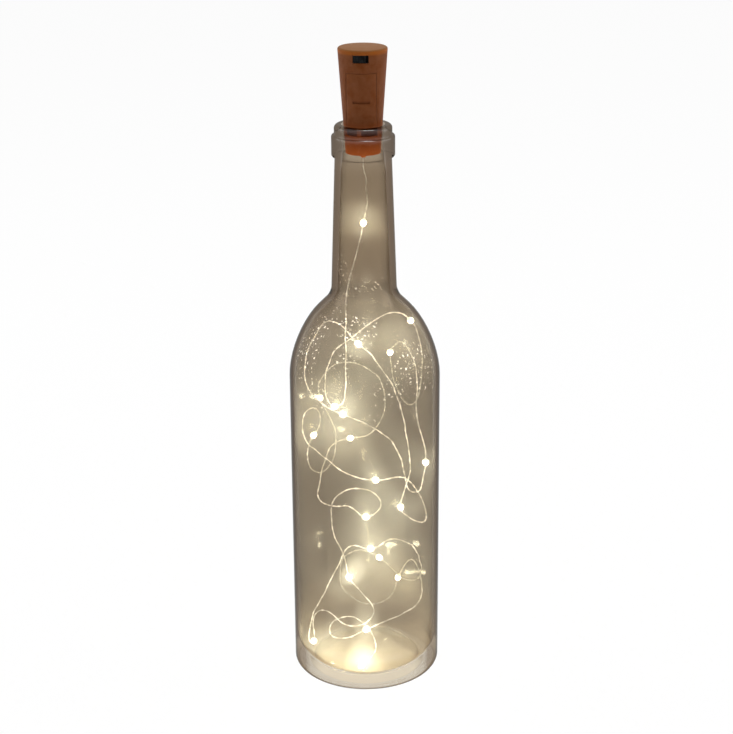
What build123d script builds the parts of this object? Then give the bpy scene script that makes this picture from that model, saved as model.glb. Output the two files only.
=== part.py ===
from build123d import *
import math
import os

# A glass bottle lit from inside. A cork-shaped stopper holds three button cells and a
# slide switch, and a string of small lights hangs from it into the bottle.
# Millimetres, +Z up. The origin is at the centre of the ring that the bottle stands on,
# and the side with the switch and the battery door faces -Y.

# Bottle
BOTTLE_H = 286.0
BODY_D = 75.0
WALL = 3.2
HEEL_R = 3.9
STAND_D = 56.0  # inner edge of the ring that the bottle stands on
PUNT_H = 9.0
PUNT_TOP_D = 26.0
BASE_T = 4.0
HEEL_FLOOR = 7.0  # slope between the wall and the floor inside
SHOULDER_Z = 160.0  # the body is straight up to here
SHOULDER_R = 50.0
SHOULDER_ANGLE = 45.0
NECK_BASE_D = 32.3
NECK_FILLET_R = 10.0
NECK_TOP_D = 27.5
RING_D = 30.6
RING_H = 10.5
RING_EDGE_R = 0.9
LIP_D = 27.9
LIP_H = 5.0
LIP_EDGE_R = 1.8
MOUTH_D = 19.2
MOUTH_L = 14.0  # straight bore under the lip
FLARE_L = 9.0  # from the bore out to the wider neck

# Stopper, a tapered moulding
STOPPER_L = 50.2
STOPPER_TOP_D = 23.8
STOPPER_END_D = 16.8
STOPPER_EDGE = 0.7
SHELL_T = 1.3
HEAD_T = 1.2
SEAT_GAP = 0.25  # between the stopper and the edge of the mouth that it sits in
FIT_GAP = 0.15  # between parts that drop into each other
RUN_GAP = 0.3  # between parts that slide past each other
PRESS_GAP = 0.05  # between parts that press on each other

# Battery door, which slides down and then lifts away
DOOR_Z = 13.0
DOOR_L = 26.2
DOOR_W = 14.1
DOOR_TRAVEL = 3.7
TONGUE_T = 0.9
TOP_TONGUE_W = 10.0
TOP_TONGUE_L = 2.6
LOW_TONGUE_W = 2.0
LOW_TONGUE_X = -1.3  # a little left of the middle
TONGUE_GRIP = 1.2  # how far the low tongue lies under the skirt
TONGUE_ROOT = 2.5  # how far a tongue is joined to the back of the door
NAIL_W = 8.0
NAIL_H = 1.3
NAIL_DEPTH = 0.6
NAIL_Z = 25.65
DOOR_RIB_W = 5.0
DOOR_RIB_T = 1.2

# Cells and contacts
CELL_D = 11.6
CELL_H = 5.4
CELL_CAP_D = 9.4
CELL_CAP_H = 0.9
CELL_COUNT = 3
CELL_Y = 0.6  # the stack stands a little behind the stopper's axis
CONTACT_T = 0.3
CONTACT_W = 7.0
BUMP_D = 3.2
BUMP_H = 0.5
LEAF_H = 2.9
LEAF_W = 3.0
TAIL_W = 2.4
TAIL_STEP = 1.6  # between the two contacts' tails
SOLDER_H = 0.6  # tails and pins stand this far out of the board

# Tray
PLUG_H = 2.6
TRAY_FRONT = 3.5  # its flat front lies this far before the axis
TROUGH_Z = 14.5
TRAY_TOP = 41.0

# Circuit board and switch
BOARD_T = 1.0
WINDOW_Z = 46.05
WINDOW_W = 7.5
WINDOW_H = 3.7
WINDOW_DISH_R = 2.4
WINDOW_DISH_DEPTH = 0.35
KNOB_W = 6.0
KNOB_GAP = 0.2
KNOB_SUNK = 0.5
KNOB_RIBS = 4
KNOB_RIB_DEPTH = 0.3
SLIDER_T = 0.6
STEM_W = 1.6
STEM_H = 1.4
STEM_L = 2.1
CASE_W = 9.2
CASE_D = 4.0
CASE_OVERHANG = 0.4  # how far the case stands out over the board's front edge
CASE_TOP_GAP = 0.4
PIN_PITCH = 2.5
PIN_COUNT = 3
PIN_W = 0.6
PIN_T = 0.3
RESISTOR = (3.2, 1.6, 0.6)

# String of lights
STRING_D = 0.7
STRING_SIDES = 4
GLAND_L = 2.5
GLAND_D = 3.6
GLAND_TIP_D = 2.4
LEAD_ANGLE = 45.0  # the lead climbs the back of the tray at this angle
LEAD_BEND_R = 1.6
LEAD_TURN_Z = 5.2  # where it turns out from the axis
LEAD_FOOT_Z = 9.5  # where it meets the back of the tray
FIRST_LED = 36.0
LAST_LED = 2.0  # from the last light to the cut end of the wire
# how far each light sits past its even place
LED_SLIPS = [0, 7, 2, 8, 6, 6, 3, 9, 11, 10, 7, 11, 6, 4, 0, 6, 15, 14, 7, -1]
BEAD_L = 4.6
BEAD_D = 2.8
BEAD_FULL_L = 1.8  # the part of its length that has its full width
BEAD_END_D = 0.85
BEAD_SIDES = 8
CHIP = (0.8, 0.6, 1.6)

# Worked out from the sizes above
BODY_R = BODY_D / 2
NECK_BASE_R = NECK_BASE_D / 2
NECK_TOP_R = NECK_TOP_D / 2
MOUTH_R = MOUTH_D / 2
SHOULDER_TAN = math.tan(math.radians(SHOULDER_ANGLE))
SHOULDER_CORNER_Z = SHOULDER_Z + SHOULDER_R * math.tan(math.radians(SHOULDER_ANGLE / 2))
NECK_BASE_Z = SHOULDER_CORNER_Z + (BODY_R - NECK_BASE_R) / SHOULDER_TAN
RING_TOP_Z = BOTTLE_H - LIP_H
RING_Z = RING_TOP_Z - RING_H
TAPER = (STOPPER_TOP_D - STOPPER_END_D) / 2 / STOPPER_L
SEAT_DEPTH = (MOUTH_R - SEAT_GAP - STOPPER_END_D / 2) / TAPER
STOPPER_Z = BOTTLE_H - SEAT_DEPTH
CAVITY_L = STOPPER_L - HEAD_T
DOOR_TOP = DOOR_Z + DOOR_L
RECESS_Z = DOOR_Z - DOOR_TRAVEL - RUN_GAP
STACK_Z = TROUGH_Z + LEAF_H
STACK_TOP = STACK_Z + CELL_COUNT * CELL_H
TROUGH_TOP = STACK_TOP + BUMP_H + CONTACT_T
TROUGH_R = CELL_D / 2 + RUN_GAP
POSITIVE_TAIL_Y = CELL_Y + TROUGH_R - TAIL_STEP
NEGATIVE_TAIL_Y = CELL_Y + TROUGH_R + FIT_GAP
BOARD_TOP = TRAY_TOP + BOARD_T
TAIL_TOP = BOARD_TOP + SOLDER_H
KNOB_TRAVEL = WINDOW_W - KNOB_W - 2 * KNOB_GAP
KNOB_X = -KNOB_TRAVEL / 2
SLIDER_W = WINDOW_W + KNOB_TRAVEL + 2 * RUN_GAP  # it covers the window at both ends of the travel
SLIDER_H = WINDOW_H + RUN_GAP
SLIDER_ROOM_R = STOPPER_END_D / 2 + TAPER * (WINDOW_Z - SLIDER_H / 2) - SHELL_T - RUN_GAP
SLIDER_FRONT = math.sqrt(SLIDER_ROOM_R**2 - ((SLIDER_W + KNOB_TRAVEL) / 2) ** 2)
CASE_FRONT = SLIDER_FRONT - SLIDER_T - RUN_GAP
BOARD_FRONT = CASE_FRONT - CASE_OVERHANG
LEAD_RISE = STRING_D / 2 + FIT_GAP  # from the tray's skin in to the lead's middle
LED_COUNT = len(LED_SLIPS)

# The string's route, read from where its bright wire and its lights lie behind the glass.
# It keeps out of the middle of the bottle, because the springy wire leans on the glass.
STRING_ROUTE = [
    (2, 3, 259), (2, 6, 247), (0, 7, 236),
    (-4, 6, 224), (-8, 2, 210), (-9, -4, 195), (-8, -13, 181), (-8, -20, 169), (-7, -22, 159),
    (-8, -22, 152), (-13, -22, 149),
    (-17, -21, 153), (-18, -21, 161), (-17, -23, 172), (-13, -23, 180), (-3, -20, 186),
    (6, -14, 194), (16, -5, 194), (24, 5, 186),
    (28, 9, 174), (29, 12, 156), (26, 19, 137), (18, 27, 133), (12, 27, 146), (10, 23, 163),
    (16, 14, 174), (23, 8, 171), (27, -4, 159), (26, -13, 144), (30, -12, 129), (31, -8, 116),
    (30, -4, 104), (29, -10, 100), (24, -17, 103), (21, -22, 116), (17, -25, 135),
    (5, -29, 143), (-9, -29, 149),
    (-20, -24, 152), (-29, -14, 158), (-29, -9, 174), (-20, -9, 191), (-9, -17, 191), (-2, -19, 182),
    (8, -19, 173), (17, -21, 160), (21, -17, 144), (23, -15, 126), (24, -14, 109), (18, -24, 97),
    (25, -16, 88), (32, -3, 80), (30, 8, 86), (25, -1, 101), (18, -18, 113), (7, -27, 113),
    (-5, -29, 116), (-18, -24, 123), (-31, -9, 127), (-32, 3, 137), (-26, 10, 138),
    (-23, 10, 127), (-29, 1, 122),
    (-31, 5, 110), (-28, 17, 95), (-19, 25, 99), (-17, 27, 120), (-26, 20, 138),
    (-25, 19, 151), (-13, 24, 158), (3, 28, 152), (10, 29, 134), (2, 28, 115), (-11, 26, 114),
    (-22, 21, 110), (-25, 10, 99), (-25, -4, 90), (-14, -19, 94), (-5, -27, 99), (2, -28, 92),
    (11, -24, 97), (7, -27, 108), (-6, -29, 110), (-15, -26, 101), (-15, -26, 85),
    (-8, -29, 72), (-7, -28, 59),
    (0, -27, 51), (9, -23, 37), (-5, -27, 29), (-18, -26, 41), (-27, -17, 33), (-25, -17, 16),
    (-31, -8, 12), (-29, -3, 23), (-21, -16, 43), (-14, -23, 61), (-6, -28, 80), (6, -27, 75),
    (14, -24, 82), (24, -15, 75), (30, -3, 57), (27, 8, 41), (18, 19, 36), (7, 26, 43),
    (-6, 28, 52), (-18, 24, 44), (-16, 24, 24), (0, 27, 15), (12, 28, 20), (15, 26, 36),
    (23, 22, 49), (29, 15, 41), (29, -3, 34), (18, -18, 33), (2, -27, 30),
    (-8, -27, 24), (-17, -23, 24), (-18, -13, 27), (-10, -5, 27), (0, -6, 22),
    (7, -15, 17), (6, -24, 12), (-3, -28, 8),
]
STRING_START_RUN = 5.0  # straight out of the gland
BEND_SHARE = 0.45  # of the shorter run beside a bend


# Helpers

def inward_corner(before, corner, after, distance):
    """The corner of an outline moved inwards, keeping both of its sides parallel."""
    first = (corner - before).normalized()
    second = (after - corner).normalized()
    normal_1 = Vector(-first.Y, first.X)
    normal_2 = Vector(-second.Y, second.X)
    return corner + (normal_1 + normal_2) * (distance / (1 + normal_1.dot(normal_2)))


def stopper_r(z):
    """Outer radius of the stopper at a height above its lower end."""
    return STOPPER_END_D / 2 + TAPER * z


def tapered(offset, low, high):
    """A solid with the stopper's taper, its side set in by offset."""
    cone = Cone(
        stopper_r(low) - offset,
        stopper_r(high) - offset,
        high - low,
        align=(Align.CENTER, Align.CENTER, Align.MIN),
    )
    return Pos(0, 0, low) * cone


def block(x, y, z):
    """A box from the pairs of its least and greatest x, y and z."""
    middle = ((x[0] + x[1]) / 2, (y[0] + y[1]) / 2, (z[0] + z[1]) / 2)
    return Pos(*middle) * Box(x[1] - x[0], y[1] - y[0], z[1] - z[0])


def across(width, middle=0):
    """The ends of a width laid out about its middle."""
    return (middle - width / 2, middle + width / 2)


def radial_slab(points, width, angle):
    """An outline of radius and height, as thick as width, turned to an angle about Z."""
    face = Plane.XZ * make_face(Polyline(*points, close=True))
    return Rot(0, 0, angle) * extrude(face, amount=width / 2, both=True)


def seated(solid):
    """Moves a stopper part from the stopper's own height to its place in the bottle."""
    return Pos(0, 0, STOPPER_Z) * solid


# Bottle

def bottle():
    heel = Vector(BODY_R, 0)
    shoulder = Vector(BODY_R, SHOULDER_CORNER_Z)
    neck_base = Vector(NECK_BASE_R, NECK_BASE_Z)
    neck_top = Vector(NECK_TOP_R, RING_Z)
    inner_shoulder = inward_corner(heel, shoulder, neck_base, WALL)
    inner_neck = inward_corner(shoulder, neck_base, neck_top, WALL)
    neck_lean = (NECK_TOP_R - NECK_BASE_R) / (RING_Z - NECK_BASE_Z)
    flare_z = BOTTLE_H - MOUTH_L - FLARE_L
    flare = Vector(inner_neck.X + neck_lean * (flare_z - inner_neck.Y), flare_z)
    floor_z = PUNT_H + BASE_T
    inner_r = BODY_R - WALL
    corners = [
        (Vector(0, PUNT_H), 0),
        (Vector(PUNT_TOP_D / 2, PUNT_H), 0),
        (Vector(STAND_D / 2, 0), 0),
        (heel, HEEL_R),
        (shoulder, SHOULDER_R),
        (neck_base, NECK_FILLET_R),
        (neck_top, 0),
        (Vector(RING_D / 2, RING_Z), RING_EDGE_R),
        (Vector(RING_D / 2, RING_TOP_Z), RING_EDGE_R),
        (Vector(LIP_D / 2, RING_TOP_Z), 0),
        (Vector(LIP_D / 2, BOTTLE_H), LIP_EDGE_R),
        (Vector(MOUTH_R, BOTTLE_H), 0),
        (Vector(MOUTH_R, BOTTLE_H - MOUTH_L), 0),
        (flare, 0),
        (inner_neck, NECK_FILLET_R + WALL),
        (inner_shoulder, SHOULDER_R - WALL),
        (Vector(inner_r, BASE_T + HEEL_FLOOR), 0),
        (Vector(inner_r - HEEL_FLOOR, BASE_T), 0),
        (Vector(PUNT_TOP_D / 2, floor_z), 0),
        (Vector(0, floor_z), 0),
    ]
    outline = FilletPolyline(
        [point for point, radius in corners],
        radius=[radius for point, radius in corners],
        close=True,
    )
    return revolve(Plane.XZ * make_face(outline), Axis.Z)


# Stopper shell and battery door

def stopper_shell():
    body = tapered(0, 0, STOPPER_L)
    body = chamfer(body.edges().group_by(Axis.Z)[-1], STOPPER_EDGE)
    body -= tapered(SHELL_T, 0, CAVITY_L)
    front = (-STOPPER_TOP_D, -SHELL_T)
    opening_w = DOOR_W + 2 * FIT_GAP
    body -= block(across(opening_w), front, (RECESS_Z, DOOR_TOP + FIT_GAP))
    window_z = across(WINDOW_H, WINDOW_Z)
    body -= block(across(WINDOW_W), front, window_z)
    # a shallow dish for a fingertip, just under the window
    dish_y = stopper_r(window_z[0]) + WINDOW_DISH_R - WINDOW_DISH_DEPTH
    dish = Rot(0, 90, 0) * Cylinder(WINDOW_DISH_R, WINDOW_W)
    body -= Pos(0, -dish_y, window_z[0]) * dish
    return body


def battery_door():
    panel = tapered(0, DOOR_Z, DOOR_TOP) - tapered(SHELL_T, DOOR_Z, DOOR_TOP)
    front = (-STOPPER_TOP_D, 0)
    panel &= block(across(DOOR_W), front, (DOOR_Z, DOOR_TOP))
    tongue_in = SHELL_T + FIT_GAP
    low_z = RECESS_Z - TONGUE_GRIP
    for middle, width, low, high in (
        (LOW_TONGUE_X, LOW_TONGUE_W, low_z, DOOR_Z + TONGUE_ROOT),
        (0, TOP_TONGUE_W, DOOR_TOP - TONGUE_ROOT, DOOR_TOP + TOP_TONGUE_L),
    ):
        tongue_x = across(width, middle)
        skin = tapered(tongue_in, low, high) - tapered(tongue_in + TONGUE_T, low, high)
        panel += skin & block(tongue_x, front, (low, high))
        # the tongue's root fills the step between it and the door
        low, high = max(low, DOOR_Z), min(high, DOOR_TOP)
        root = tapered(SHELL_T / 2, low, high) - tapered(tongue_in + TONGUE_T, low, high)
        panel += root & block(tongue_x, front, (low, high))
    # a rib behind the middle of the first and of the last cell keeps the stack in
    for cell in (0, CELL_COUNT - 1):
        rib_z = STACK_Z + (cell + 0.5) * CELL_H
        rib_y = (-stopper_r(rib_z) + SHELL_T / 2, CELL_Y - CELL_D / 2 - 2 * RUN_GAP)
        panel += block(across(DOOR_RIB_W), rib_y, across(DOOR_RIB_T, rib_z))
    nail_z = across(NAIL_H, NAIL_Z)
    groove = block(across(NAIL_W), front, nail_z)
    panel -= groove - tapered(NAIL_DEPTH, nail_z[0], nail_z[1])
    return panel


# Battery tray with its cells and contacts

def battery_tray():
    body = tapered(SHELL_T + FIT_GAP, PLUG_H, TRAY_TOP)
    front = (-STOPPER_TOP_D, -TRAY_FRONT)
    body -= block(across(2 * STOPPER_TOP_D), front, (PLUG_H, TRAY_TOP))
    trough_z = (TROUGH_Z, TROUGH_TOP)
    trough = Cylinder(TROUGH_R, TROUGH_TOP - TROUGH_Z, align=(Align.CENTER, Align.CENTER, Align.MIN))
    body -= Pos(0, CELL_Y, TROUGH_Z) * trough
    body -= block(across(2 * TROUGH_R), (-STOPPER_TOP_D, CELL_Y), trough_z)
    # a channel behind the cells and a slot above them let the contacts' tails up
    slot_w = TAIL_W + 2 * FIT_GAP
    channel_y = (CELL_Y, NEGATIVE_TAIL_Y + CONTACT_T + FIT_GAP)
    body -= block(across(slot_w), channel_y, trough_z)
    for tail_y in (POSITIVE_TAIL_Y, NEGATIVE_TAIL_Y):
        slot_y = (tail_y - FIT_GAP, tail_y + CONTACT_T + FIT_GAP)
        body -= block(across(slot_w), slot_y, (TROUGH_TOP, TRAY_TOP))
    # the lead turns out under the tray and climbs a groove in its back
    slot_half = STRING_D / 2 + FIT_GAP
    under = [(-slot_half, PLUG_H), (STOPPER_TOP_D, PLUG_H)]
    under += [(STOPPER_TOP_D, LEAD_FOOT_Z), (-slot_half, LEAD_FOOT_Z)]
    body -= radial_slab(under, 2 * slot_half, LEAD_ANGLE)
    groove = [(lead_r(z) - slot_half, z) for z in (LEAD_FOOT_Z, TRAY_TOP)]
    groove += [(STOPPER_TOP_D, TRAY_TOP), (STOPPER_TOP_D, LEAD_FOOT_Z)]
    body -= radial_slab(groove, 2 * slot_half, LEAD_ANGLE)
    return body


def battery_cell(index):
    cap_r = CELL_CAP_D / 2
    can_r = CELL_D / 2
    outline = Polyline(
        (0, 0), (cap_r, 0), (cap_r, CELL_CAP_H), (can_r, CELL_CAP_H), (can_r, CELL_H), (0, CELL_H), close=True
    )
    cell = revolve(Plane.XZ * make_face(outline), Axis.Z)
    return Pos(0, CELL_Y, STACK_Z + index * CELL_H) * cell


def positive_contact():
    plate_z = (TROUGH_TOP - CONTACT_T, TROUGH_TOP)
    tail_y = (POSITIVE_TAIL_Y, POSITIVE_TAIL_Y + CONTACT_T)
    body = block(across(CONTACT_W), across(CONTACT_W, CELL_Y), plate_z)
    body += block(across(TAIL_W), (CELL_Y, tail_y[1]), plate_z)
    body += block(across(TAIL_W), tail_y, (plate_z[0], TAIL_TOP))
    bump = Cylinder(BUMP_D / 2, BUMP_H + CONTACT_T, align=(Align.CENTER, Align.CENTER, Align.MIN))
    body += Pos(0, CELL_Y, STACK_TOP) * bump
    return body


def negative_contact():
    plate_z = (TROUGH_Z, TROUGH_Z + CONTACT_T)
    tail_y = (NEGATIVE_TAIL_Y, NEGATIVE_TAIL_Y + CONTACT_T)
    front_y = CELL_Y - CONTACT_W / 2
    body = block(across(CONTACT_W), across(CONTACT_W, CELL_Y), plate_z)
    body += block(across(TAIL_W), (CELL_Y, tail_y[1]), plate_z)
    body += block(across(TAIL_W), tail_y, (plate_z[0], TAIL_TOP))
    # the leaf springs up from the plate's front edge to press on the lowest cell
    foot_z = TROUGH_Z + CONTACT_T / 2
    crest_z = STACK_Z - CONTACT_T / 2 - PRESS_GAP
    crest_y = CELL_Y + LEAF_W / 2
    line = Polyline((front_y, foot_z), (crest_y - LEAF_W / 2, crest_z), (crest_y, crest_z))
    leaf = extrude(Plane.YZ * trace(line, line_width=CONTACT_T), amount=LEAF_W / 2, both=True)
    return body + leaf


# Circuit board and switch

def pin_places():
    middle = (PIN_COUNT - 1) / 2
    return [((i - middle) * PIN_PITCH, -CASE_FRONT + CASE_D / 2) for i in range(PIN_COUNT)]


def circuit_board():
    edge = SHELL_T + 2 * FIT_GAP
    body = Cylinder(
        stopper_r(TRAY_TOP) - edge, BOARD_T, align=(Align.CENTER, Align.CENTER, Align.MIN)
    )
    body = Pos(0, 0, TRAY_TOP) * body
    board_z = (TRAY_TOP, BOARD_TOP)
    body -= block(across(2 * STOPPER_TOP_D), (-STOPPER_TOP_D, -BOARD_FRONT), board_z)
    slot_w = TAIL_W + 2 * FIT_GAP
    for tail_y in (POSITIVE_TAIL_Y, NEGATIVE_TAIL_Y):
        body -= block(across(slot_w), (tail_y - FIT_GAP, tail_y + CONTACT_T + FIT_GAP), board_z)
    for x, y in pin_places():
        hole_x = across(PIN_W + 2 * FIT_GAP, x)
        hole_y = across(PIN_T + 2 * FIT_GAP, y)
        body -= block(hole_x, hole_y, board_z)
    # a notch in the edge lets the lead up
    notch_half = STRING_D / 2 + FIT_GAP
    notch = [(lead_r(z) - notch_half, z) for z in board_z]
    notch += [(STOPPER_TOP_D, BOARD_TOP), (STOPPER_TOP_D, TRAY_TOP)]
    body -= radial_slab(notch, 2 * notch_half, LEAD_ANGLE)
    return body


def switch_case():
    case_y = (-CASE_FRONT, -CASE_FRONT + CASE_D)
    body = block(across(CASE_W), case_y, (BOARD_TOP, CAVITY_L - CASE_TOP_GAP))
    slot_w = STEM_W + KNOB_TRAVEL + 2 * FIT_GAP
    slot_z = across(STEM_H + 2 * FIT_GAP, WINDOW_Z)
    slot_end = -CASE_FRONT - RUN_GAP + STEM_L + FIT_GAP
    body -= block(across(slot_w), (-STOPPER_TOP_D, slot_end), slot_z)
    for x, y in pin_places():
        pin_z = (TRAY_TOP - SOLDER_H, BOARD_TOP + SOLDER_H)
        body += block(across(PIN_W, x), across(PIN_T, y), pin_z)
    return body


def switch_knob():
    grip_z = across(WINDOW_H - 2 * KNOB_GAP, WINDOW_Z)
    back_y = -SLIDER_FRONT + SLIDER_T
    body = block(across(KNOB_W), (-STOPPER_TOP_D, back_y), grip_z)
    body &= Pos(-KNOB_X, 0, 0) * tapered(KNOB_SUNK, grip_z[0], grip_z[1])
    rib_step = KNOB_W / (KNOB_RIBS + 1)
    for i in range(KNOB_RIBS):
        groove_x = (i + 1) * rib_step - KNOB_W / 2
        groove = block(across(rib_step / 2), (-STOPPER_TOP_D, 0), grip_z)
        floor = tapered(KNOB_SUNK + KNOB_RIB_DEPTH, grip_z[0], grip_z[1])
        groove -= Pos(-KNOB_X - groove_x, 0, 0) * floor
        body -= Pos(groove_x, 0, 0) * groove
    slider_y = (-SLIDER_FRONT, back_y)
    body += block(across(SLIDER_W), slider_y, across(SLIDER_H, WINDOW_Z))
    stem_y = (back_y - SLIDER_T / 2, back_y + STEM_L)
    body += block(across(STEM_W), stem_y, across(STEM_H, WINDOW_Z))
    return Pos(KNOB_X, 0, 0) * body


def resistor():
    length, width, height = RESISTOR
    return Pos(0, 0, BOARD_TOP + height / 2) * Box(length, width, height)


# End plug, lead and string

def lead_r(z):
    """How far the lead's middle lies from the axis as it climbs the tray."""
    return stopper_r(z) - SHELL_T - FIT_GAP - LEAD_RISE


def end_plug():
    disc = tapered(SHELL_T + FIT_GAP, 0, PLUG_H)
    gland = Cone(GLAND_TIP_D / 2, GLAND_D / 2, GLAND_L, align=(Align.CENTER, Align.CENTER, Align.MIN))
    body = disc + Pos(0, 0, -GLAND_L) * gland
    hole_l = PLUG_H + GLAND_L
    hole = Cylinder(STRING_D / 2 + FIT_GAP / 2, hole_l, align=(Align.CENTER, Align.CENTER, Align.MIN))
    return body - Pos(0, 0, -GLAND_L) * hole


def string_lead():
    turn = math.radians(LEAD_ANGLE)
    top_z = BOARD_TOP + SOLDER_H / 2

    def at(radius, z):
        return (radius * math.cos(turn), radius * math.sin(turn), z)

    foot_r = lead_r(LEAD_FOOT_Z)
    path = FilletPolyline(
        [(0, 0, -GLAND_L), (0, 0, LEAD_TURN_Z), at(foot_r, LEAD_FOOT_Z), at(lead_r(top_z), top_z)],
        radius=LEAD_BEND_R,
    )
    return sweep((path ^ 0) * RegularPolygon(STRING_D / 2, STRING_SIDES), path)


def string_path():
    """The string's line, with each bend as wide as the runs beside it allow."""
    start = Vector(0, 0, STOPPER_Z - GLAND_L)
    points = [start, start - Vector(0, 0, STRING_START_RUN)]
    points += [Vector(*point) for point in STRING_ROUTE]
    radii = []
    for before, point, after in zip(points, points[1:], points[2:]):
        shorter = min((point - before).length, (after - point).length)
        turn = math.radians((point - before).get_angle(after - point))
        radii.append(BEND_SHARE * shorter / math.tan(turn / 2))
    print("string bend radii from", round(min(radii), 2), "to", round(max(radii), 1))
    return FilletPolyline(points, radius=radii)


def string_wire(path):
    section = RegularPolygon(STRING_D / 2, STRING_SIDES)
    wire = sweep((path ^ 0) * section, path)
    print("string length", round(path.length, 1))
    print("string volume over section times length", round(wire.volume / (section.area * path.length), 4))
    return wire


def led_places(path):
    """Where the lights sit on the string, each as a plane whose Z runs along the wire."""
    pitch = (path.length - FIRST_LED - LAST_LED) / (LED_COUNT - 1)
    print("light pitch", round(pitch, 2))
    places = []
    for i, slip in enumerate(LED_SLIPS):
        station = (FIRST_LED + i * pitch + slip) / path.length
        places.append(Plane(path.position_at(station), z_dir=path.tangent_at(station)))
    return places


def led_bead(place):
    """A drop of clear resin around the wire, thick in the middle and drawn out at its ends."""
    section = RegularPolygon(BEAD_D / 2, BEAD_SIDES)
    end_l = (BEAD_L - BEAD_FULL_L) / 2
    draw_in = (BEAD_D - BEAD_END_D) / 2 * math.cos(math.pi / BEAD_SIDES)
    taper = math.degrees(math.atan(draw_in / end_l))
    half = extrude(section, amount=BEAD_FULL_L / 2)
    half += extrude(Pos(0, 0, BEAD_FULL_L / 2) * section, amount=end_l, taper=taper)
    return place * (half + mirror(half, about=Plane.XY))


def led_chips(places):
    return Compound([place * Box(*CHIP) for place in places])


def main():
    os.makedirs("parts", exist_ok=True)
    path = string_path()
    places = led_places(path)
    nodes = {
        "bottle": bottle(),
        "stopper_shell": seated(stopper_shell()),
        "battery_door": seated(battery_door()),
        "battery_tray": seated(battery_tray()),
        "positive_contact": seated(positive_contact()),
        "negative_contact": seated(negative_contact()),
        "circuit_board": seated(circuit_board()),
        "switch_case": seated(switch_case()),
        "switch_knob": seated(switch_knob()),
        "resistor": seated(resistor()),
        "end_plug": seated(end_plug()),
        "string_lead": seated(string_lead()),
        "string_wire": string_wire(path),
        "led_chips": led_chips(places),
    }
    for i in range(CELL_COUNT):
        nodes[f"battery_cell_{i + 1}"] = seated(battery_cell(i))
    for i, place in enumerate(places):
        nodes[f"led_bead_{i + 1:02d}"] = led_bead(place)
    for name, solid in nodes.items():
        export_step(solid, f"parts/{name}.step")


main()
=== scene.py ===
import math

import bmesh
import bpy
from bpy.props import FloatProperty, FloatVectorProperty, PointerProperty
from mathutils import Matrix, Vector, noise
from mathutils.kdtree import KDTree


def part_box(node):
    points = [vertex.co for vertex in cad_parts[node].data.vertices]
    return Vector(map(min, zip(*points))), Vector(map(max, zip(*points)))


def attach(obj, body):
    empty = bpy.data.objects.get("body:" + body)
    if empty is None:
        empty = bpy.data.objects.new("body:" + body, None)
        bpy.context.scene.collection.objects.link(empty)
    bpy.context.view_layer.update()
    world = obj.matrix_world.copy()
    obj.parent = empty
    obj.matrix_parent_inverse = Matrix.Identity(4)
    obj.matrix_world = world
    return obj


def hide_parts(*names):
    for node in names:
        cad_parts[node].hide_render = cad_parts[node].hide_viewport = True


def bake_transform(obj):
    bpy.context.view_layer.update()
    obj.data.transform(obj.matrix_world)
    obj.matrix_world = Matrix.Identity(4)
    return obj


# The looks of a glass bottle with a cork-shaped stopper that lights it from inside.
# Metres, +Z up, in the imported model's frame. The switch and the battery door face -Y.

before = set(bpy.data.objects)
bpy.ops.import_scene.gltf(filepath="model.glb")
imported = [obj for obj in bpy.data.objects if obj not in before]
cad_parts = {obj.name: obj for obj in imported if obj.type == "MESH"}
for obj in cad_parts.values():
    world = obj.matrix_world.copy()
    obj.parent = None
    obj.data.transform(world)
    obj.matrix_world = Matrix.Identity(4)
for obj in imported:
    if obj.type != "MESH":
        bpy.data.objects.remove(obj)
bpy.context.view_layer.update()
BOTTLE_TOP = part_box("bottle")[1].z
STOPPER_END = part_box("stopper_shell")[0].z
STRING_EXIT = Vector((0, 0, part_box("end_plug")[0].z))

bl_info = {
    "name": "Cork bottle light",
    "version": (1, 0, 0),
    "blender": (4, 5, 0),
    "location": "View3D > Sidebar > Bottle light",
    "description": "Builds the looks of a lit glass bottle around its packed CAD model",
    "category": "Object",
}

# The string of lights
LIGHT_COUNT = 20
CHIP_SIZE = (0.0008, 0.0006, 0.0016)
CHIP_ROUND = 0.0001
DROP_END_ROUND = 0.0002
DROP_SIDE_ROUND = 0.0018
STRING_START_RUN = 0.005  # straight out of the stopper
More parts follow.
